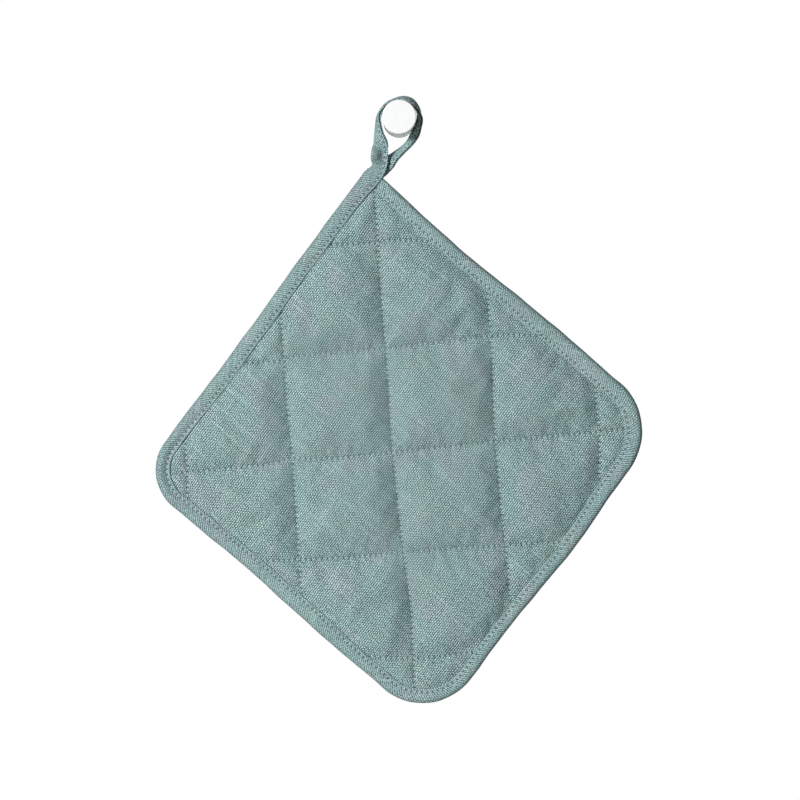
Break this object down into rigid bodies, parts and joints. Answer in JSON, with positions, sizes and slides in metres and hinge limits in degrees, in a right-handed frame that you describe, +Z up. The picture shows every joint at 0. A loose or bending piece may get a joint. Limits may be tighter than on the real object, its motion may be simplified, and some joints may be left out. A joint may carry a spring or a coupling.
{
  "type": "pot holder on a wall knob",
  "caption": "Square quilted cloth pot holder with a bound edge, hanging by its tape loop from a round wall knob.",
  "frame": {"origin": "middle of the knob's back face, on the wall plane", "axes": "+Y into the wall, -Y towards the room, +Z up, +X to the right as seen from the room"},
  "size_m": [0.2756, 0.026, 0.3432],
  "materials": {
    "quilted_pad": "plain-woven linen, quilted",
    "edge_binding": "linen tape, folded and stitched",
    "hanging_loop": "linen tape, folded and stitched",
    "wall_knob": "satin white paint"
  },
  "bodies": {
    "root": {"quilted_pad": "quilted_pad", "edge_binding": "edge_binding", "hanging_loop": "hanging_loop", "wall_knob": "wall_knob"}
  },
  "joints": []
}
